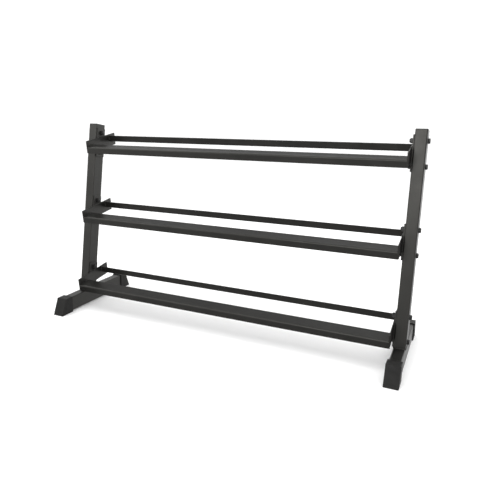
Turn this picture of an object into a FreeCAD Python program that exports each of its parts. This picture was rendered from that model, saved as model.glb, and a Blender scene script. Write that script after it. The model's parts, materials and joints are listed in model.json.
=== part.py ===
import FreeCAD, Part
import math
import os
import re
import Sketcher

# Three-shelf dumbbell rack: two side frames of rectangular tube, each a foot with an upright
# welded on top, and three tilted shelves bolted between the uprights.
#
# Frame of the part: millimetres, +Z up, +X to the rack's own left-to-right length as seen from
# the front, -Y the front. The origin is on the floor, midway between the side frames and
# midway between the toes of the boots.

DIMENSIONS = [
    # Side frames
    ("frame_span", 1740.0, "outer face to outer face of the uprights"),
    ("tube_width", 50.8, "tube section along X"),
    ("tube_depth", 76.2, "tube section across the width"),
    ("tube_wall", 2.5, "tube wall"),
    ("tube_corner", 5.0, "outer corner radius of the tube"),
    ("lean_angle", 8.5, "degrees that an upright leans back"),
    ("upright_length", 926.0, "front face of an upright, foot to cap"),
    ("front_reach", 219.0, "upright's front face to the front toe, at the foot"),
    # Boots
    ("foot_span", 624.0, "front toe to rear toe on the floor"),
    ("boot_sole", 6.0, "boot under the tube"),
    ("boot_side", 5.0, "boot beside the tube"),
    ("boot_crown", 4.0, "boot above the tube"),
    ("boot_toe_wall", 5.5, "boot beyond the tube's slanted end, along Y"),
    ("boot_top_length", 50.0, "rim to the top edge of the toe"),
    ("toe_slant", 36.0, "how far the toe leans in from floor to crown"),
    ("boot_edge", 2.5, "rounding of the boot's edges"),
    # Upright caps
    ("cap_head", 4.0, "head of the plug above the tube"),
    ("cap_insert", 16.0, "plug's insert inside the tube"),
    ("cap_clearance", 0.2, "insert to tube, each side"),
    ("cap_wall", 2.2, "wall of the hollow insert"),
    ("cap_bore_corner", 0.8, "corner radius inside the hollow insert"),
    ("cap_edge", 1.5, "rounding of the plug's top edge"),
    # Shelves
    ("top_station", 829.0, "foot to the centre of the top shelf, along the upright"),
    ("shelf_pitch", 375.0, "shelf to shelf, along the upright"),
    ("shelf_tilt", 8.5, "degrees that a shelf rises to the rear"),
    ("end_plate_depth", 257.0, "front to rear"),
    ("end_plate_height", 66.0, "bottom to top edge"),
    ("end_plate_thick", 5.0, "end plate thickness"),
    ("end_plate_corner", 3.0, "corner radius of an end plate"),
    ("mount_plate_length", 156.0, "along the upright"),
    ("mount_plate_width", 64.0, "across the upright"),
    ("mount_plate_thick", 6.0, "mount plate thickness"),
    ("mount_plate_corner", 3.0, "corner radius of a mount plate"),
    ("rail_thick", 4.0, "rail thickness"),
    ("rail_bend", 7.0, "outer radius of a rail's fold"),
    ("rail_lip", 34.0, "lip of either rail, outside the fold"),
    ("front_flange", 75.0, "flange of the front rail, outside the fold"),
    ("front_drop", 32.0, "top edge of an end plate to the front flange"),
    ("rear_offset", 202.0, "front edge of an end plate to the rear lip"),
    ("rear_drop", 7.0, "top edge of an end plate to the rear lip"),
    ("edge_break", 0.8, "rounding of a cut plate's long edges"),
    # Fasteners, M12
    ("bolt_spacing", 108.0, "bolt to bolt on a mount plate"),
    ("bolt_diameter", 12.0, "thread diameter"),
    ("bolt_length", 75.0, "under the head"),
    ("bolt_hole", 13.0, "clearance hole"),
    ("hex_flats", 19.0, "across the flats of head and nut"),
    ("head_height", 7.5, "bolt head"),
    ("nut_height", 12.0, "lock nut, with its collar"),
    ("nut_hexagon", 9.6, "hexagon of the lock nut, without the collar"),
    ("nut_collar", 16.4, "diameter of the lock nut's collar"),
    ("nut_bore", 12.2, "lock nut bore"),
    ("washer_diameter", 24.0, "washer outside"),
    ("washer_bore", 12.8, "washer inside"),
    ("washer_thick", 2.5, "washer thickness"),
    ("hex_chamfer", 1.3, "chamfer on the corners of head and nut"),
]

SHELVES = ["bottom", "middle", "top"]
SIDES = {"left": -1, "right": 1}
ENDS = {"front": -1, "rear": 1}

doc = FreeCAD.newDocument("DumbbellRack")
sheet = doc.addObject("Spreadsheet::Sheet", "Dimensions")
for row, (alias, size, meaning) in enumerate(DIMENSIONS, start=1):
    sheet.set(f"A{row}", meaning)
    sheet.set(f"B{row}", str(size))
    sheet.setAlias(f"B{row}", alias)
doc.recompute()

ALIASES = [alias for alias, size, meaning in DIMENSIONS]
nodes = {}

# Derived sizes, written once as expressions of the driving dimensions.
FOOT_TOP = "(boot_sole + tube_depth)"
BOOT_HEIGHT = "(boot_sole + tube_depth + boot_crown)"
UPRIGHT_Y = "(front_reach - foot_span / 2)"
UPRIGHT_X = "(frame_span - tube_width) / 2"
UPRIGHT_INNER_X = "(frame_span / 2 - tube_width)"
END_PLATE_INNER_X = f"({UPRIGHT_INNER_X} - mount_plate_thick - end_plate_thick)"
BORE_WIDTH = "(tube_width - 2 * tube_wall)"
BORE_DEPTH = "(tube_depth - 2 * tube_wall)"
BORE_CORNER = "(tube_corner - tube_wall)"
INNER_BEND = "(rail_bend - rail_thick)"
HEX_CORNER = "(hex_flats / 2 / cos(30))"
RIGHT_THROUGH = "2 * tube_width"

# How near two points are, in millimetres, to count as one.
SAME_PLACE = 0.01


def bound(expression):
    """The expression with each dimension's name pointing at its cell in the sheet."""
    def cell(word):
        return "Dimensions." + word[0] if word[0] in ALIASES else word[0]
    return re.sub(r"[a-z_]+", cell, expression)


def value(expression):
    return float(sheet.evalExpression(expression))


# Sketching


def sketch_on(body, name, role):
    """A sketch on the plane of a body's own origin that has this role."""
    sketch = body.newObject("Sketcher::SketchObject", name)
    planes = [feature for feature in body.Origin.OriginFeatures if feature.Role == role]
    sketch.AttachmentSupport = [(planes[0], "")]
    sketch.MapMode = "FlatFace"
    return sketch


def fix(sketch, constraint, expression):
    index = sketch.addConstraint(constraint)
    sketch.setExpression(f"Constraints[{index}]", bound(expression))


def pin(sketch, geometry, point, x, y):
    """Hold one point of a sketch at x, y from the sketch's origin."""
    across = Sketcher.Constraint("DistanceX", -1, 1, geometry, point, value(x))
    fix(sketch, across, x)
    upward = Sketcher.Constraint("DistanceY", -1, 1, geometry, point, value(y))
    fix(sketch, upward, y)


def polygon(sketch, corners):
    """A closed outline of straight edges through corners given as pairs of expressions."""
    points = [FreeCAD.Vector(value(x), value(y), 0) for x, y in corners]
    first = sketch.GeometryCount
    count = len(corners)
    for index in range(count):
        edge = Part.LineSegment(points[index], points[(index + 1) % count])
        sketch.addGeometry(edge, False)
    for index in range(count):
        following = first + (index + 1) % count
        sketch.addConstraint(Sketcher.Constraint("Coincident", first + index, 2, following, 1))
    for index, (x, y) in enumerate(corners):
        pin(sketch, first + index, 1, x, y)


def circle(sketch, x, y, diameter):
    centre = FreeCAD.Vector(value(x), value(y), 0)
    ring = Part.Circle(centre, FreeCAD.Vector(0, 0, 1), value(diameter) / 2)
    index = sketch.addGeometry(ring, False)
    pin(sketch, index, 3, x, y)
    fix(sketch, Sketcher.Constraint("Diameter", index, value(diameter)), diameter)


def rounded_rectangle(sketch, x, y, width, height, corner):
    """A rectangle centred on x, y, whose four corners are arcs of one radius."""
    centre = FreeCAD.Vector(value(x), value(y), 0)
    half_width = value(width) / 2
    half_height = value(height) / 2
    radius = value(corner)
    first = sketch.GeometryCount
    quarter = math.pi / 2
    # Right, top, left and bottom edges, each followed by the arc that starts at its end.
    turns = [(1, 0), (0, 1), (-1, 0), (0, -1)]
    for step, (ahead_x, ahead_y) in enumerate(turns):
        side_x = -ahead_y
        side_y = ahead_x
        out = half_width if ahead_x else half_height
        run = (half_height if ahead_x else half_width) - radius
        face = centre + FreeCAD.Vector(ahead_x, ahead_y, 0) * out
        along = FreeCAD.Vector(side_x, side_y, 0)
        sketch.addGeometry(Part.LineSegment(face - along * run, face + along * run), False)
        arc_centre = face + along * run - FreeCAD.Vector(ahead_x, ahead_y, 0) * radius
        full = Part.Circle(arc_centre, FreeCAD.Vector(0, 0, 1), radius)
        arc = Part.ArcOfCircle(full, step * quarter, (step + 1) * quarter)
        sketch.addGeometry(arc, False)
    for index in range(8):
        following = first + (index + 1) % 8
        sketch.addConstraint(Sketcher.Constraint("Tangent", first + index, 2, following, 1))
    right, top, left, bottom = first, first + 2, first + 4, first + 6
    for edge in (right, left):
        sketch.addConstraint(Sketcher.Constraint("Vertical", edge))
    for edge in (top, bottom):
        sketch.addConstraint(Sketcher.Constraint("Horizontal", edge))
    for arc in (first + 3, first + 5, first + 7):
        sketch.addConstraint(Sketcher.Constraint("Equal", first + 1, arc))
    fix(sketch, Sketcher.Constraint("Radius", first + 1, radius), corner)
    for edge, sign in ((right, "+"), (left, "-")):
        expression = f"{x} {sign} {width} / 2"
        across = Sketcher.Constraint("DistanceX", -1, 1, edge, 1, value(expression))
        fix(sketch, across, expression)
    for edge, sign in ((top, "+"), (bottom, "-")):
        expression = f"{y} {sign} {height} / 2"
        upward = Sketcher.Constraint("DistanceY", -1, 1, edge, 1, value(expression))
        fix(sketch, upward, expression)


# Features


def pad(body, sketch, length, symmetric=False, backward=False):
    feature = body.newObject("PartDesign::Pad", body.Name + "_pad")
    feature.Profile = sketch
    feature.SideType = "Symmetric" if symmetric else "One side"
    feature.Reversed = backward
    feature.setExpression("Length", bound(length))
    sketch.Visibility = False
    doc.recompute()
    return feature


def pocket(body, sketch, length):
    """A cut to both sides of the sketch, checked to have removed something."""
    before = body.Shape.Volume
    feature = body.newObject("PartDesign::Pocket", body.Name + "_pocket")
    feature.Profile = sketch
    feature.SideType = "Symmetric"
    feature.setExpression("Length", bound(length))
    sketch.Visibility = False
    doc.recompute()
    if body.Shape.Volume >= before:
        raise RuntimeError(f"{body.Name}: a pocket cut nothing")
    return feature


def soften(body, base, wanted, radius):
    """Round the edges of a feature that the test picks out."""
    picked = [f"Edge{number}" for number, edge in enumerate(base.Shape.Edges, start=1) if wanted(edge)]
    feature = body.newObject("PartDesign::Fillet", body.Name + "_fillet")
    feature.Base = (base, picked)
    feature.setExpression("Radius", bound(radius))
    doc.recompute()
    return feature


def lies_at(edge, **coordinates):
    """Whether both ends of an edge, and so the edge, have these coordinates."""
    ends = [vertex.Point for vertex in edge.Vertexes]
    return all(abs(getattr(end, axis) - wanted) < SAME_PLACE
               for end in ends for axis, wanted in coordinates.items())


def place(sub_part, x, y, z, tilt=None, tilt_axis=(1, 0, 0)):
    """Bind a sub-part's Placement to the sheet, turned about X by the angle named in tilt."""
    turned = FreeCAD.Rotation(FreeCAD.Vector(*tilt_axis), 1.0 if tilt else 0.0)
    sub_part.Placement = FreeCAD.Placement(FreeCAD.Vector(0, 0, 0), turned)
    sub_part.setExpression("Placement.Base.x", bound(x))
    sub_part.setExpression("Placement.Base.y", bound(y))
    sub_part.setExpression("Placement.Base.z", bound(z))
    if tilt:
        sub_part.setExpression("Placement.Rotation.Angle", bound(tilt))


def along_upright(station, depth):
    """Y and Z of a point this far up an upright and this far behind its front face."""
    y = f"{UPRIGHT_Y} + {station} * sin(lean_angle) + {depth} * cos(lean_angle)"
    z = f"{FOOT_TOP} + {station} * cos(lean_angle) - {depth} * sin(lean_angle)"
    return y, z


def lean(sub_part, x, station, depth):
    """Place a sub-part whose own Z runs up the leaning upright."""
    y, z = along_upright(station, depth)
    place(sub_part, x, y, z, tilt="lean_angle", tilt_axis=(-1, 0, 0))


def shelf_station(shelf):
    steps_down = len(SHELVES) - 1 - SHELVES.index(shelf)
    return f"(top_station - {steps_down} * shelf_pitch)"


def bolt_stations(shelf):
    """Stations of the lower and the upper bolt of a shelf's mount plate."""
    return [f"({shelf_station(shelf)} {sign} bolt_spacing / 2)" for sign in "-+"]


def keep(node_name, sub_part):
    """Label a finished sub-part with its node name and list it for export."""
    sub_part.Label = node_name
    nodes[node_name] = sub_part


# Side frames


def foot_tube(name, hollow):
    """The foot's tube, or its solid envelope, cut at both ends on the slant of the toes."""
    body = doc.addObject("PartDesign::Body", name)
    section = sketch_on(body, name + "_section", "XZ_Plane")
    middle = "(boot_sole + tube_depth / 2)"
    rounded_rectangle(section, "0", middle, "tube_width", "tube_depth", "tube_corner")
    if hollow:
        rounded_rectangle(section, "0", middle, BORE_WIDTH, BORE_DEPTH, BORE_CORNER)
    pad(body, section, "foot_span", symmetric=True)
    for end, sign in ENDS.items():
        cut = sketch_on(body, f"{name}_{end}_cut", "YZ_Plane")
        low = f"{sign} * (foot_span / 2 - boot_toe_wall)"
        high = f"{sign} * (foot_span / 2 - boot_toe_wall - toe_slant)"
        outside = f"{sign} * foot_span"
        corners = [(low, "0"), (high, BOOT_HEIGHT), (outside, BOOT_HEIGHT), (outside, "0")]
        polygon(cut, corners)
        pocket(body, cut, RIGHT_THROUGH)
    return body


def boot(name, end):
    """A slip-on boot: a block with a slanted toe, hollowed by the foot's own envelope."""
    body = doc.addObject("PartDesign::Body", name + "_block")
    sign = ENDS[end]
    profile = sketch_on(body, name + "_profile", "YZ_Plane")
    toe_low = f"{sign} * foot_span / 2"
    toe_high = f"{sign} * (foot_span / 2 - toe_slant)"
    rim = f"{sign} * (foot_span / 2 - toe_slant - boot_top_length)"
    corners = [(toe_low, "0"), (toe_high, BOOT_HEIGHT), (rim, BOOT_HEIGHT), (rim, "0")]
    polygon(profile, corners)
    block = pad(body, profile, "tube_width + 2 * boot_side", symmetric=True)
    rim_y = value(rim)
    soften(body, block, lambda edge: not lies_at(edge, y=rim_y), "boot_edge")
    envelope = foot_tube(name + "_hollow", hollow=False)
    shell = doc.addObject("Part::Cut", name)
    shell.Base = body
    shell.Tool = envelope
    return shell


def upright(name):
    """A leaning post: its own Z runs up its front face, and its lower end is cut level."""
    body = doc.addObject("PartDesign::Body", name)
    section = sketch_on(body, name + "_section", "XY_Plane")
    middle = "tube_depth / 2"
    rounded_rectangle(section, "0", middle, "tube_width", "tube_depth", "tube_corner")
    rounded_rectangle(section, "0", middle, BORE_WIDTH, BORE_DEPTH, BORE_CORNER)
    pad(body, section, "upright_length")
    level = sketch_on(body, name + "_level_cut", "YZ_Plane")
    reach = "2 * tube_depth"
    polygon(level, [("0", "0"), (reach, "0"), (reach, f"{reach} * tan(lean_angle)")])
    pocket(body, level, RIGHT_THROUGH)
    holes = sketch_on(body, name + "_holes", "YZ_Plane")
    for shelf in SHELVES:
        for station in bolt_stations(shelf):
            circle(holes, middle, station, "bolt_hole")
    pocket(body, holes, RIGHT_THROUGH)
    return body


def upright_cap(name):
    """A plug: a rounded head that covers the tube's end, and a hollow insert below it."""
    body = doc.addObject("PartDesign::Body", name)
    middle = "tube_depth / 2"
    outline = sketch_on(body, name + "_outline", "XY_Plane")
    rounded_rectangle(outline, "0", middle, "tube_width", "tube_depth", "tube_corner")
    head = pad(body, outline, "cap_head")
    top = value("cap_head")
    soften(body, head, lambda edge: lies_at(edge, z=top), "cap_edge")
    ring = sketch_on(body, name + "_insert", "XY_Plane")
    outside = ("cap_clearance", f"({BORE_CORNER} - cap_clearance)")
    inside = ("(cap_clearance + cap_wall)", "cap_bore_corner")
    for inset, corner in (outside, inside):
        width = f"({BORE_WIDTH} - 2 * {inset})"
        depth = f"({BORE_DEPTH} - 2 * {inset})"
        rounded_rectangle(ring, "0", middle, width, depth, corner)
    pad(body, ring, "cap_insert", backward=True)
    return body


for side, sign in SIDES.items():
    centre = f"{sign} * {UPRIGHT_X}"

    foot = foot_tube(f"{side}_foot", hollow=True)
    place(foot, centre, "0", "0")
    keep(f"{side}_foot", foot)

    for end in ENDS:
        slip_on = boot(f"{side}_{end}_boot", end)
        place(slip_on, centre, "0", "0")
        keep(f"{side}_{end}_boot", slip_on)

    post = upright(f"{side}_upright")
    lean(post, centre, "0", "0")
    keep(f"{side}_upright", post)

    cap = upright_cap(f"{side}_upright_cap")
    lean(cap, centre, "upright_length", "0")
    keep(f"{side}_upright_cap", cap)


# Shelves. A shelf's own frame has its origin at the middle of the end plates, on the
# centreline of the uprights, with Y to the rear along its slope.


def flat_plate(name, depth, height, thickness, corner, hole_heights=()):
    """A plate cut square to X with rounded corners and eased edges."""
    body = doc.addObject("PartDesign::Body", name)
    outline = sketch_on(body, name + "_outline", "YZ_Plane")
    rounded_rectangle(outline, "0", "0", depth, height, corner)
    for hole_height in hole_heights:
        circle(outline, "0", hole_height, "bolt_hole")
    blank = pad(body, outline, thickness, symmetric=True)
    face = value(thickness) / 2

    def on_rim(edge):
        flat = lies_at(edge, x=face) or lies_at(edge, x=-face)
        closed = len(edge.Vertexes) == 1
        return flat and not closed

    soften(body, blank, on_rim, "edge_break")
    return body


def folded_rail(name, front, fold_height, lip_end, flange):
    """An angle folded from plate: a lip across Z with its outer face at front, and a
    flange to the rear whose outer face is at fold_height."""
    body = doc.addObject("PartDesign::Body", name)
    section = sketch_on(body, name + "_section", "YZ_Plane")
    upward = value(lip_end) > value(fold_height)
    inward = "+" if upward else "-"
    lip_back = f"{front} + rail_thick"
    flange_inside = f"{fold_height} {inward} rail_thick"
    flange_rear = f"{front} + {flange}"
    corners = [
        (front, fold_height),
        (flange_rear, fold_height),
        (flange_rear, flange_inside),
        (lip_back, flange_inside),
        (lip_back, lip_end),
        (front, lip_end),
    ]
    polygon(section, corners)
    length = f"2 * {END_PLATE_INNER_X}"
    blank = pad(body, section, length, symmetric=True)

    def runs_along(y, z):
        def test(edge):
            return lies_at(edge, y=value(y), z=value(z))
        return test

    folded = soften(body, blank, runs_along(front, fold_height), "rail_bend")
    folded = soften(body, folded, runs_along(lip_back, flange_inside), INNER_BEND)

    def free_edge(edge):
        places = [(front, lip_end), (lip_back, lip_end)]
        places += [(flange_rear, fold_height), (flange_rear, flange_inside)]
        return any(runs_along(y, z)(edge) for y, z in places)

    soften(body, folded, free_edge, "edge_break")
    return body


for shelf in SHELVES:
    station = shelf_station(shelf)
    centre_y, centre_z = along_upright(station, "tube_depth / 2")
    plate_front = "(0 - end_plate_depth / 2)"
    plate_top = "(end_plate_height / 2)"

    flange_top = f"({plate_top} - front_drop)"
    lip_bottom = f"({flange_top} - rail_lip)"
    front_rail = folded_rail(f"{shelf}_front_rail", plate_front, flange_top, lip_bottom, "front_flange")
    place(front_rail, "0", centre_y, centre_z, tilt="shelf_tilt")
    keep(f"{shelf}_front_rail", front_rail)

    lip_front = f"({plate_front} + rear_offset)"
    lip_top = f"({plate_top} - rear_drop)"
    flange_under = f"({lip_top} - rail_lip)"
    rear_flange = "(end_plate_depth - rear_offset)"
    rear_rail = folded_rail(f"{shelf}_rear_rail", lip_front, flange_under, lip_top, rear_flange)
    place(rear_rail, "0", centre_y, centre_z, tilt="shelf_tilt")
    keep(f"{shelf}_rear_rail", rear_rail)

    for side, sign in SIDES.items():
        name = f"{shelf}_{side}_end_plate"
        end_plate = flat_plate(name, "end_plate_depth", "end_plate_height",
                               "end_plate_thick", "end_plate_corner")
        middle = f"{sign} * ({END_PLATE_INNER_X} + end_plate_thick / 2)"
        place(end_plate, middle, centre_y, centre_z, tilt="shelf_tilt")
        keep(name, end_plate)

        name = f"{shelf}_{side}_mount_plate"
        holes = ["0 - bolt_spacing / 2", "bolt_spacing / 2"]
        mount_plate = flat_plate(name, "mount_plate_width", "mount_plate_length",
                                 "mount_plate_thick", "mount_plate_corner", holes)
        middle = f"{sign} * ({UPRIGHT_INNER_X} - mount_plate_thick / 2)"
        lean(mount_plate, middle, station, "tube_depth / 2")
        keep(name, mount_plate)


# Fasteners. Each kind is modelled once for each side, on the X axis with its bearing face at
# the origin, and linked into place at every joint of that side.


def hexagon(sketch):
    """A hexagon about the sketch's origin, with two flats upright."""
    half = "hex_flats / 2"
    slope = "hex_flats / 2 * tan(30)"
    corners = [
        (half, f"0 - {slope}"),
        (half, slope),
        ("0", HEX_CORNER),
        (f"0 - {half}", slope),
        (f"0 - {half}", f"0 - {slope}"),
        ("0", f"0 - {HEX_CORNER}"),
    ]
    polygon(sketch, corners)


def turn_down_corners(body, name, face, outward):
    """Cut a cone off the corners of a hexagon at one of its end faces."""
    before = body.Shape.Volume
    section = sketch_on(body, name, "XY_Plane")
    shoulder = f"{face} - {outward} * hex_chamfer"
    inner = f"({HEX_CORNER} - 2 * hex_chamfer)"
    outer = f"({HEX_CORNER} + hex_chamfer)"
    polygon(section, [(face, inner), (face, outer), (shoulder, outer), (shoulder, HEX_CORNER)])
    cone = body.newObject("PartDesign::Groove", name + "_groove")
    cone.Profile = section
    cone.ReferenceAxis = (section, ["H_Axis"])
    cone.Angle = 360
    section.Visibility = False
    doc.recompute()
    if body.Shape.Volume >= before:
        raise RuntimeError(f"{body.Name}: a groove cut nothing")


def hex_bolt(name, outward):
    body = doc.addObject("PartDesign::Body", name)
    head = sketch_on(body, name + "_head", "YZ_Plane")
    hexagon(head)
    pad(body, head, "head_height", backward=outward < 0)
    turn_down_corners(body, name + "_crown", f"{outward} * head_height", outward)
    shank = sketch_on(body, name + "_shank", "YZ_Plane")
    circle(shank, "0", "0", "bolt_diameter")
    shaft = pad(body, shank, "bolt_length", backward=outward > 0)
    point = value("bolt_length") * -outward
    soften(body, shaft, lambda edge: lies_at(edge, x=point), "edge_break")
    return body


def lock_nut(name, outward):
    """A hex nut with the round collar of its locking ring on the free side."""
    body = doc.addObject("PartDesign::Body", name)
    outline = sketch_on(body, name + "_hexagon", "YZ_Plane")
    hexagon(outline)
    pad(body, outline, "nut_hexagon", backward=outward < 0)
    turn_down_corners(body, name + "_crown", f"{outward} * nut_hexagon", outward)
    collar = sketch_on(body, name + "_collar", "YZ_Plane")
    circle(collar, "0", "0", "nut_collar")
    ring = pad(body, collar, "nut_height", backward=outward < 0)
    free_face = value("nut_height") * outward
    soften(body, ring, lambda edge: lies_at(edge, x=free_face), "edge_break")
    bore = sketch_on(body, name + "_bore", "YZ_Plane")
    circle(bore, "0", "0", "nut_bore")
    pocket(body, bore, RIGHT_THROUGH)
    return body


def washer(name):
    body = doc.addObject("PartDesign::Body", name)
    outline = sketch_on(body, name + "_outline", "YZ_Plane")
    circle(outline, "0", "0", "washer_diameter")
    circle(outline, "0", "0", "washer_bore")
    pad(body, outline, "washer_thick", symmetric=True)
    return body


def set_of_six(node_name, pattern, x):
    """One fastener at each of a side frame's six joints, as separate solids of one node."""
    links = []
    for shelf in SHELVES:
        for station in bolt_stations(shelf):
            link = doc.addObject("App::Link", node_name + "_copy")
            link.LinkedObject = pattern
            lean(link, x, station, "tube_depth / 2")
            links.append(link)
    group = doc.addObject("Part::Compound", node_name)
    group.Links = links
    keep(node_name, group)


for side, sign in SIDES.items():
    outer_face = f"{sign} * frame_span / 2"
    inner_face = f"{sign} * ({UPRIGHT_INNER_X} - mount_plate_thick)"
    half_washer = f"{sign} * washer_thick / 2"

    bolt = hex_bolt(f"{side}_bolt_pattern", outward=sign)
    set_of_six(f"{side}_bolts", bolt, f"{outer_face} + {sign} * washer_thick")
    head_washer = washer(f"{side}_head_washer_pattern")
    set_of_six(f"{side}_head_washers", head_washer, f"{outer_face} + {half_washer}")
    nut_washer = washer(f"{side}_nut_washer_pattern")
    set_of_six(f"{side}_nut_washers", nut_washer, f"{inner_face} - {half_washer}")
    nut = lock_nut(f"{side}_lock_nut_pattern", outward=-sign)
    set_of_six(f"{side}_lock_nuts", nut, f"{inner_face} - {sign} * washer_thick")


doc.recompute()

for item in doc.Objects:
    if "Invalid" in item.State or "Error" in item.State:
        raise RuntimeError(f"{item.Label} failed: {item.State}")
for node_name, sub_part in nodes.items():
    if sub_part.Shape.isNull() or not sub_part.Shape.isValid():
        raise RuntimeError(f"{node_name} has no valid shape")

os.makedirs("parts", exist_ok=True)
for node_name, sub_part in nodes.items():
    sub_part.Shape.exportStep(f"parts/{node_name}.step")

whole = Part.makeCompound([sub_part.Shape for sub_part in nodes.values()]).BoundBox
print(f"{len(nodes)} nodes, X {whole.XMin:.1f} to {whole.XMax:.1f}, "
      f"Y {whole.YMin:.1f} to {whole.YMax:.1f}, Z {whole.ZMin:.1f} to {whole.ZMax:.1f}")
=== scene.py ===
import json
import math
import random

import bmesh
import bpy
from mathutils import Matrix, Vector


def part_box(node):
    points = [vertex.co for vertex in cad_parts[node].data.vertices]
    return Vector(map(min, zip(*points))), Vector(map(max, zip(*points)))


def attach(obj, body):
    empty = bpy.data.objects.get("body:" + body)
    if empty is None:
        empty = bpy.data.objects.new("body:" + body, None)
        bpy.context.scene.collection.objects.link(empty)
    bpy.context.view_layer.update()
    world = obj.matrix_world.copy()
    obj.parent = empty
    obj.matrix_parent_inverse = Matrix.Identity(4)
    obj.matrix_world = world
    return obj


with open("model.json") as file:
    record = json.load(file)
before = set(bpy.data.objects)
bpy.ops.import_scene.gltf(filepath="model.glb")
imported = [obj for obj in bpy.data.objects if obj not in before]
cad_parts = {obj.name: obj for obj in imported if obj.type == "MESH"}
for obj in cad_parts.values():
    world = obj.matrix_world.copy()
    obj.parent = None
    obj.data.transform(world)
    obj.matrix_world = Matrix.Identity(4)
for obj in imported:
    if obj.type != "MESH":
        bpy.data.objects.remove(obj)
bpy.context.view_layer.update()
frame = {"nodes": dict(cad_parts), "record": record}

# Three-shelf dumbbell rack. Sizes are in metres and angles in degrees unless a name says
# otherwise. The frame gives every place. What is added here is the finish of each part, the
# weld beads and the locking rings of the nuts.

SIDES = {"left": -1, "right": 1}
SHELVES = ["bottom", "middle", "top"]

LEAN = math.radians(8.5)
UP_THE_POST = Vector((0.0, math.sin(LEAN), math.cos(LEAN)))
TO_THE_REAR = Vector((0.0, math.cos(LEAN), -math.sin(LEAN)))
TILT = math.radians(8.5)
SHELF_REAR = Vector((0.0, math.cos(TILT), math.sin(TILT)))
SHELF_UP = Vector((0.0, -math.sin(TILT), math.cos(TILT)))
ACROSS = Vector((1.0, 0.0, 0.0))


def middle_of(node):
    low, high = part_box(node)
    return (low + high) / 2


# Materials


class Shader:
    """A node material being built around one Principled shader."""

    def __init__(self, name):
        self.material = bpy.data.materials.new(name)
        self.material.use_nodes = True
        self.nodes = self.material.node_tree.nodes
        self.links = self.material.node_tree.links
        self.surface = self.nodes["Principled BSDF"]
        self.place = self.node("ShaderNodeTexCoord").outputs["Object"]

    def node(self, kind, **settings):
        made = self.nodes.new(kind)
        for setting, wanted in settings.items():
            setattr(made, setting, wanted)
        return made

    def join(self, output, socket):
        self.links.new(output, socket)

    def drive(self, name, output):
        self.join(output, self.surface.inputs[name])

    def noise(self, size, detail=2.0, roughness=0.5):
        """Noise whose blotches are about this size."""
        texture = self.node("ShaderNodeTexNoise")
        texture.inputs["Scale"].default_value = 1.0 / size
        texture.inputs["Detail"].default_value = detail
        texture.inputs["Roughness"].default_value = roughness
        self.join(self.place, texture.inputs["Vector"])
        return texture.outputs["Fac"]

    def pits(self, size):
        """Distance from the nearest of many points that are about this far apart."""
        texture = self.node("ShaderNodeTexVoronoi")
        texture.inputs["Scale"].default_value = 1.0 / size
        self.join(self.place, texture.inputs["Vector"])
        return texture.outputs["Distance"]

    def spread(self, value, low, high, to_low, to_high):
        ramp = self.node("ShaderNodeMapRange")
        ramp.inputs["From Min"].default_value = low
        ramp.inputs["From Max"].default_value = high
        ramp.inputs["To Min"].default_value = to_low
        ramp.inputs["To Max"].default_value = to_high
        self.join(value, ramp.inputs["Value"])
        return ramp.outputs["Result"]

    def blend(self, amount, first, second):
        mix = self.node("ShaderNodeMix", data_type="RGBA")
        self.join(amount, mix.inputs["Factor"])
        for socket, colour in ((mix.inputs["A"], first), (mix.inputs["B"], second)):
            if isinstance(colour, tuple):
                socket.default_value = (*colour, 1.0)
            else:
                self.join(colour, socket)
        return mix.outputs["Result"]

    def bump(self, height, depth, under=None):
        bump = self.node("ShaderNodeBump")
        bump.inputs["Distance"].default_value = depth
        self.join(height, bump.inputs["Height"])
        if under is not None:
            self.join(under, bump.inputs["Normal"])
        return bump.outputs["Normal"]


COAT_SPECULAR = 0.38
WARM_GLINT = (1.0, 0.985, 0.93, 1.0)
FLECK_SIZE = 0.0011
PEEL_SIZE = 0.0022
PEEL_DEPTH = 0.00006
GRAIN_SIZE = 0.0006
GRAIN_DEPTH = 0.000012


def powder_coat(name, dark, light, gloss_low, gloss_high):
    """Satin powder coat: fine orange peel over a slightly uneven, slightly warm black film."""
    coat = Shader(name)
    drift = coat.spread(coat.noise(0.12, 3.0), 0.35, 0.65, 0.0, 1.0)
    colour = coat.blend(drift, dark, light)
    fleck = tuple(2.5 * part for part in light)
    speck = coat.spread(coat.noise(FLECK_SIZE, 1.0), 0.64, 0.72, 0.0, 0.5)
    coat.drive("Base Color", coat.blend(speck, colour, fleck))
    sheen = coat.spread(coat.noise(0.05, 4.0), 0.3, 0.7, gloss_low, gloss_high)
    coat.drive("Roughness", sheen)
    peel = coat.bump(coat.noise(PEEL_SIZE, 2.0), PEEL_DEPTH)
    grain = coat.bump(coat.noise(GRAIN_SIZE, 1.0), GRAIN_DEPTH, under=peel)
    coat.drive("Normal", grain)
    coat.surface.inputs["Specular IOR Level"].default_value = COAT_SPECULAR
    coat.surface.inputs["Specular Tint"].default_value = WARM_GLINT
    return coat.material


def moulded(name, dark, light, gloss, grain_size, grain_depth, specular):
    """Moulded rubber or plastic: a spark-eroded grain, with dust settled in patches."""
    skin = Shader(name)
    drift = skin.spread(skin.noise(0.03, 4.0), 0.35, 0.7, 0.0, 1.0)
    dust = skin.spread(skin.noise(0.008, 5.0, 0.7), 0.6, 0.8, 0.0, 0.4)
    colour = skin.blend(drift, dark, light)
    pale = tuple(2.0 * part for part in light)
    skin.drive("Base Color", skin.blend(dust, colour, pale))
    sheen = skin.spread(skin.noise(0.02, 3.0), 0.3, 0.7, gloss - 0.05, gloss + 0.05)
    skin.drive("Roughness", sheen)
    pitted = skin.bump(skin.pits(grain_size), grain_depth)
    skin.drive("Normal", skin.bump(skin.noise(grain_size, 3.0), grain_depth / 2, under=pitted))
    skin.surface.inputs["Specular IOR Level"].default_value = specular
    return skin.material


OXIDE_DARK = (0.012, 0.012, 0.012)
OXIDE_LIGHT = (0.035, 0.034, 0.032)
SCRATCH_DEPTH = 0.00003
METAL_SHOWING = 0.4


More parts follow.
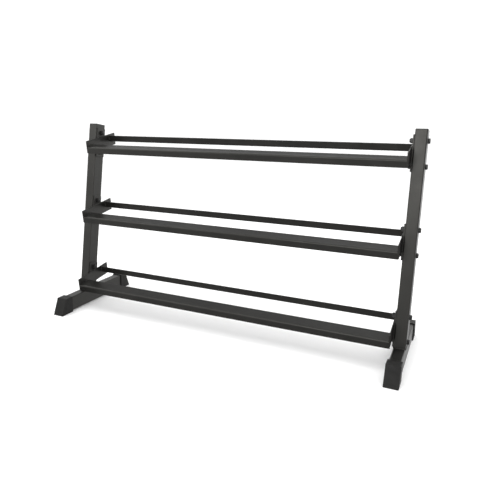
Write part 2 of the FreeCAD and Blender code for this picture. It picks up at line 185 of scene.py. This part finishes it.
def black_oxide(name, scratch):
    """Oiled black-oxide steel, with a hint of metal showing through."""
    steel = Shader(name)
    drift = steel.spread(steel.noise(0.004, 4.0), 0.4, 0.75, 0.0, 1.0)
    steel.drive("Base Color", steel.blend(drift, OXIDE_DARK, OXIDE_LIGHT))
    sheen = steel.spread(steel.noise(0.003, 3.0), 0.3, 0.7, 0.3, 0.45)
    steel.drive("Roughness", sheen)
    steel.drive("Normal", steel.bump(steel.noise(scratch, 2.0), SCRATCH_DEPTH))
    steel.surface.inputs["Metallic"].default_value = METAL_SHOWING
    return steel.material


BLACK = (0.0065, 0.0064, 0.0059)
LIT_BLACK = (0.0105, 0.0103, 0.0095)
RING_DARK = (0.02, 0.02, 0.021)
RING_LIGHT = (0.03, 0.03, 0.031)

finishes = {
    "frame_coat": powder_coat("frame_powder_coat", BLACK, LIT_BLACK, 0.29, 0.36),
    "rail_coat": powder_coat("rail_powder_coat", BLACK, LIT_BLACK, 0.29, 0.36),
    "plate_coat": powder_coat("plate_powder_coat", BLACK, LIT_BLACK, 0.31, 0.38),
    "boot_rubber": moulded("boot_rubber", BLACK, LIT_BLACK, 0.5, 0.0012, 0.00012, 0.2),
    "cap_plastic": moulded("cap_plastic", BLACK, LIT_BLACK, 0.42, 0.0009, 0.00006, 0.4),
    "bolt_steel": black_oxide("bolt_black_oxide", 0.0008),
    "washer_steel": black_oxide("washer_black_oxide", 0.0011),
}
nylon = moulded("nylon_ring", RING_DARK, RING_LIGHT, 0.45, 0.0007, 0.00003, 0.4)

slot_of = {row["node"]: row["material_slot"] for row in frame["record"]["subparts"]}
for node_name, node in frame["nodes"].items():
    for slot in node.material_slots:
        slot.material = finishes[slot_of[node_name]]


# Pieces


def piece(name, mesh, material):
    """Finish a mesh built in the frame's own place, and fix it to the rack."""
    bmesh.ops.recalc_face_normals(mesh, faces=mesh.faces)
    data = bpy.data.meshes.new(name)
    mesh.to_mesh(data)
    mesh.free()
    data.shade_smooth()
    data.materials.append(material)
    made = bpy.data.objects.new(name, data)
    bpy.context.scene.collection.objects.link(made)
    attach(made, "root")
    return made


def tube(mesh, centres, sideways, upward, radii, closed):
    """Skin a ring of points round each centre; an open tube is closed with a fan at each end."""
    facets = 12
    rings = []
    for centre, side, up, radius in zip(centres, sideways, upward, radii):
        ring = []
        for facet in range(facets):
            angle = 2 * math.pi * facet / facets
            rim = centre + radius * (math.cos(angle) * side + math.sin(angle) * up)
            ring.append(mesh.verts.new(rim))
        rings.append(ring)
    spans = list(zip(rings, rings[1:]))
    if closed:
        spans.append((rings[-1], rings[0]))
    for near, far in spans:
        for facet in range(facets):
            beside = (facet + 1) % facets
            mesh.faces.new((near[facet], near[beside], far[beside], far[facet]))
    if not closed:
        for ring in (rings[0], rings[-1]):
            mesh.faces.new(ring)


# Weld beads: a row of overlapping ripples, a little uneven, half sunk into the seam.

RIPPLE = 0.0026
RIPPLE_STEPS = 6


def bead(mesh, path, size, up, seed, closed=False):
    """Lay a bead of this half-width along a path of straight runs."""
    chance = random.Random(seed)
    stops = path + path[:1] if closed else path
    runs = list(zip(stops, stops[1:]))
    length = sum((end - start).length for start, end in runs)
    ripples = max(3, round(length / RIPPLE))
    count = ripples * RIPPLE_STEPS
    uneven = [chance.uniform(-1.0, 1.0) for ripple in range(ripples + 1)]
    centres, sideways, upward, radii = [], [], [], []
    for index in range(count if closed else count + 1):
        travelled = length * index / count
        left = travelled
        for start, end in runs:
            run = end - start
            if left <= run.length + 1e-9:
                break
            left -= run.length
        forward = run.normalized()
        ripple, phase = divmod(index, RIPPLE_STEPS)
        hump = 0.10 * math.sin(math.pi * phase / RIPPLE_STEPS)
        radius = size * (0.94 + hump + 0.05 * uneven[ripple % len(uneven)])
        if not closed:
            from_end = min(travelled, length - travelled)
            radius *= math.sqrt(min(1.0, 0.15 + from_end / (1.5 * size)))
        side = forward.cross(up).normalized()
        centres.append(start + forward * left + side * size * 0.06 * uneven[ripple % len(uneven)])
        sideways.append(side)
        upward.append(side.cross(forward))
        radii.append(radius)
    tube(mesh, centres, sideways, upward, radii, closed)


def rounded_loop(centre, half_width, half_depth, corner, corner_steps=6):
    """Points of a level rounded rectangle, in order round its centre."""
    points = []
    turns = [(1, -1), (1, 1), (-1, 1), (-1, -1)]
    for turn, (x_side, y_side) in enumerate(turns):
        hub = centre + Vector((x_side * (half_width - corner), y_side * (half_depth - corner), 0.0))
        for step in range(corner_steps + 1):
            angle = math.pi / 2 * (turn - 1 + step / corner_steps)
            points.append(hub + corner * Vector((math.cos(angle), math.sin(angle), 0.0)))
    return points


POST_SECTION_DEPTH = 0.0762
POST_BEAD = 0.0036
POST_BEAD_SUNK = 0.0014
POST_BEAD_PROUD = 0.0004
POST_CORNER = 0.005


def post_weld(side):
    """The bead all round the level end of an upright, on top of its foot."""
    foot_low, foot_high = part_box(f"{side}_foot")
    post_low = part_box(f"{side}_upright")[0]
    post_depth = POST_SECTION_DEPTH / math.cos(LEAN)
    base = Vector(((foot_low.x + foot_high.x) / 2, post_low.y + post_depth / 2, foot_high.z))
    half_width = (foot_high.x - foot_low.x) / 2 - POST_BEAD_SUNK
    loop = rounded_loop(base, half_width, post_depth / 2 + POST_BEAD_PROUD, POST_CORNER)
    mesh = bmesh.new()
    bead(mesh, loop, POST_BEAD, Vector((0.0, 0.0, 1.0)), seed=f"{side} post", closed=True)
    piece(f"{side}_post_weld", mesh, finishes["frame_coat"])


PLATE_HALF_DEPTH = 0.1285
PLATE_HALF_HEIGHT = 0.033
FRONT_FLANGE_HEIGHT = 0.001
FRONT_FLANGE_DEPTH = 0.075
REAR_LIP_FRONT = 0.0735
REAR_LIP_TOP = 0.026
LIP_HEIGHT = 0.034
RAIL_BEND = 0.007
RAIL_THICK = 0.004
MOUNT_HALF_WIDTH = 0.032
RAIL_BEAD = 0.0026
MOUNT_BEAD = 0.003
FLANGE_STITCH = 0.028
BEAD_MARGIN = 0.004
LIP_BEAD_MARGIN = 0.002
FLANGE_BEAD_MARGIN = 0.001


def shelf_welds(shelf, side):
    """Beads that join a shelf's rails to one end plate, and the end plate to its mount plate."""
    sign = SIDES[side]
    end_plate = f"{shelf}_{side}_end_plate"
    low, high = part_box(end_plate)
    centre = middle_of(end_plate)
    inner_face = low.x if sign > 0 else high.x
    outer_face = high.x if sign > 0 else low.x
    inward = -sign * ACROSS

    def at(face, rear, up):
        return Vector((face, centre.y, centre.z)) + rear * SHELF_REAR + up * SHELF_UP

    mesh = bmesh.new()
    lip_low = REAR_LIP_TOP - LIP_HEIGHT + RAIL_BEND
    lip_run = [
        at(inner_face, REAR_LIP_FRONT, lip_low),
        at(inner_face, REAR_LIP_FRONT, REAR_LIP_TOP - LIP_BEAD_MARGIN),
    ]
    bead(mesh, lip_run, RAIL_BEAD, inward, seed=f"{end_plate} lip")

    flange_rear = FRONT_FLANGE_DEPTH - PLATE_HALF_DEPTH
    flange_run = [
        at(inner_face, flange_rear - FLANGE_STITCH, FRONT_FLANGE_HEIGHT),
        at(inner_face, flange_rear - FLANGE_BEAD_MARGIN, FRONT_FLANGE_HEIGHT),
    ]
    bead(mesh, flange_run, RAIL_BEAD, inward, seed=f"{end_plate} flange")

    under = FRONT_FLANGE_HEIGHT - RAIL_THICK
    under_run = [
        at(inner_face, RAIL_THICK + BEAD_MARGIN - PLATE_HALF_DEPTH, under),
        at(inner_face, flange_rear - BEAD_MARGIN, under),
    ]
    bead(mesh, under_run, RAIL_BEAD, inward, seed=f"{end_plate} under")

    rear_under = REAR_LIP_TOP - LIP_HEIGHT
    rear_run = [
        at(inner_face, REAR_LIP_FRONT + RAIL_BEND, rear_under),
        at(inner_face, PLATE_HALF_DEPTH - BEAD_MARGIN, rear_under),
    ]
    bead(mesh, rear_run, RAIL_BEAD, inward, seed=f"{end_plate} rear")

    for up in (PLATE_HALF_HEIGHT, -PLATE_HALF_HEIGHT):
        run = [
            at(outer_face, -MOUNT_HALF_WIDTH + BEAD_MARGIN, up),
            at(outer_face, MOUNT_HALF_WIDTH - BEAD_MARGIN, up),
        ]
        bead(mesh, run, MOUNT_BEAD, -inward, seed=f"{end_plate} {up > 0}")
    piece(f"{shelf}_{side}_shelf_welds", mesh, finishes["plate_coat"])


# Locking rings of the nuts

HALF_BOLT_SPACING = 0.054
BOLT_RADIUS = 0.006
RING_THICKNESS = 0.0006
RING_GAP = 0.0009


def bolt_places(side):
    """Centres of a side frame's bolts, on the mount plates."""
    for shelf in SHELVES:
        plate = middle_of(f"{shelf}_{side}_mount_plate")
        for step in (-HALF_BOLT_SPACING, HALF_BOLT_SPACING):
            yield plate + step * UP_THE_POST


def ring_round_bolt(mesh, centre, radius, thickness):
    """A ring about the X axis, half sunk into the face that it lies on."""
    steps = 40
    centres, sideways, upward, radii = [], [], [], []
    for step in range(steps):
        angle = 2 * math.pi * step / steps
        out = math.cos(angle) * UP_THE_POST + math.sin(angle) * TO_THE_REAR
        centres.append(centre + radius * out)
        sideways.append(out)
        upward.append(ACROSS)
        radii.append(thickness)
    tube(mesh, centres, sideways, upward, radii, closed=True)


def locking_rings(side):
    low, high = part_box(f"{side}_lock_nuts")
    free_face = low.x if side == "right" else high.x
    mesh = bmesh.new()
    for place in bolt_places(side):
        centre = Vector((free_face, place.y, place.z))
        ring_round_bolt(mesh, centre, BOLT_RADIUS + RING_GAP, RING_THICKNESS)
    piece(f"{side}_locking_rings", mesh, nylon)


for side in SIDES:
    post_weld(side)
    locking_rings(side)
    for shelf in SHELVES:
        shelf_welds(shelf, side)


# Stage: a pale floor, soft studio light and the camera


FLOOR_SIZE = 60.0
FLOOR_GLOW = 0.1
FLOOR_DARK = (0.90, 0.90, 0.90)
FLOOR_LIGHT = (0.92, 0.92, 0.92)


def floor():
    """A wide pale floor that glows faintly, and that reflections don't see."""
    bpy.ops.mesh.primitive_plane_add(size=FLOOR_SIZE)
    ground = bpy.context.object
    ground.name = "floor"
    ground.visible_glossy = False
    pale = Shader("pale_floor")
    tone = pale.spread(pale.noise(0.6, 2.0), 0.3, 0.7, 0.0, 1.0)
    pale.drive("Base Color", pale.blend(tone, FLOOR_DARK, FLOOR_LIGHT))
    pale.surface.inputs["Roughness"].default_value = 0.9
    pale.surface.inputs["Specular IOR Level"].default_value = 0.1
    pale.surface.inputs["Emission Color"].default_value = (1.0, 1.0, 1.0, 1.0)
    pale.surface.inputs["Emission Strength"].default_value = FLOOR_GLOW
    ground.data.materials.append(pale.material)


SKY_STRENGTH = 2.0
BELOW = 0.25
HORIZON = 0.65
MIDDLE_SKY = 0.2
ZENITH = 1.0
# Angle above the horizon, and the share of full brightness there.
SKY_STOPS = [
    (-34, BELOW),
    (-2, HORIZON),
    (13, HORIZON),
    (19, MIDDLE_SKY),
    (38, MIDDLE_SKY),
    (64, ZENITH),
]


def surroundings():
    """Light from all round: dim below, bright at the horizon and overhead, dimmer between."""
    world = bpy.data.worlds.new("studio")
    bpy.context.scene.world = world
    world.use_nodes = True
    nodes = world.node_tree.nodes
    links = world.node_tree.links
    split = nodes.new("ShaderNodeSeparateXYZ")
    links.new(nodes.new("ShaderNodeTexCoord").outputs["Generated"], split.inputs["Vector"])
    height = nodes.new("ShaderNodeMapRange")
    height.inputs["From Min"].default_value = -1.0
    links.new(split.outputs["Z"], height.inputs["Value"])
    band = nodes.new("ShaderNodeValToRGB")
    links.new(height.outputs["Result"], band.inputs["Fac"])
    ramp = band.color_ramp.elements
    while len(ramp) < len(SKY_STOPS):
        ramp.new(1.0)
    for stop, (angle, share) in zip(ramp, SKY_STOPS):
        stop.position = (math.sin(math.radians(angle)) + 1.0) / 2.0
        stop.color = (share, share, share, 1.0)
    background = nodes["Background"]
    links.new(band.outputs["Color"], background.inputs["Color"])
    background.inputs["Strength"].default_value = SKY_STRENGTH


LAMP_WIDTH = 1.6
LAMP_DISTANCE = 3.5
LAMP_AIM = Vector((0.0, 0.0, 0.4))


def softbox(name, turn, height_angle, power):
    """A square lamp of this power in watts, this far round the rack and this far up, aimed at it."""
    turn = math.radians(turn)
    rise = math.radians(height_angle)
    level = math.cos(rise)
    out = Vector((math.sin(turn) * level, -math.cos(turn) * level, math.sin(rise)))
    light = bpy.data.lights.new(name, "AREA")
    light.shape = "SQUARE"
    light.size = LAMP_WIDTH
    light.energy = power
    lamp = bpy.data.objects.new(name, light)
    lamp.location = LAMP_AIM + LAMP_DISTANCE * out
    lamp.rotation_euler = (-out).to_track_quat("-Z", "Y").to_euler()
    bpy.context.scene.collection.objects.link(lamp)


# The camera stands where a fit to the rack's edges in the photograph put it.
LENS = 38.604
SENSOR_WIDTH = 36.0
SHIFT_ACROSS = 0.0982
SHIFT_UP = -0.0438
EYE_PLACE = (1.0487, -2.3737, 1.0568)
EYE_TURN = 26.84
EYE_DIP = 12.04
EYE_ROLL = 0.29


def camera():
    lens = bpy.data.cameras.new("camera")
    lens.sensor_width = SENSOR_WIDTH
    lens.lens = LENS
    lens.shift_x = SHIFT_ACROSS
    lens.shift_y = SHIFT_UP
    lens.clip_start = 0.01
    eye = bpy.data.objects.new("camera", lens)
    turn = Matrix.Rotation(math.radians(EYE_TURN), 4, "Z")
    tip = Matrix.Rotation(math.radians(90.0 - EYE_DIP), 4, "X")
    roll = Matrix.Rotation(math.radians(EYE_ROLL), 4, "Z")
    eye.matrix_world = Matrix.Translation(EYE_PLACE) @ turn @ tip @ roll
    bpy.context.scene.collection.objects.link(eye)
    bpy.context.scene.camera = eye


bpy.context.scene.view_settings.view_transform = "Standard"
camera()
floor()
surroundings()
softbox("front_softbox", turn=0.0, height_angle=24.0, power=42.0)
softbox("front_left_softbox", turn=315.0, height_angle=30.0, power=20.0)
softbox("rear_right_softbox", turn=135.0, height_angle=30.0, power=30.0)
softbox("left_softbox", turn=270.0, height_angle=55.0, power=15.0)
softbox("rear_softbox", turn=180.0, height_angle=12.0, power=6.0)
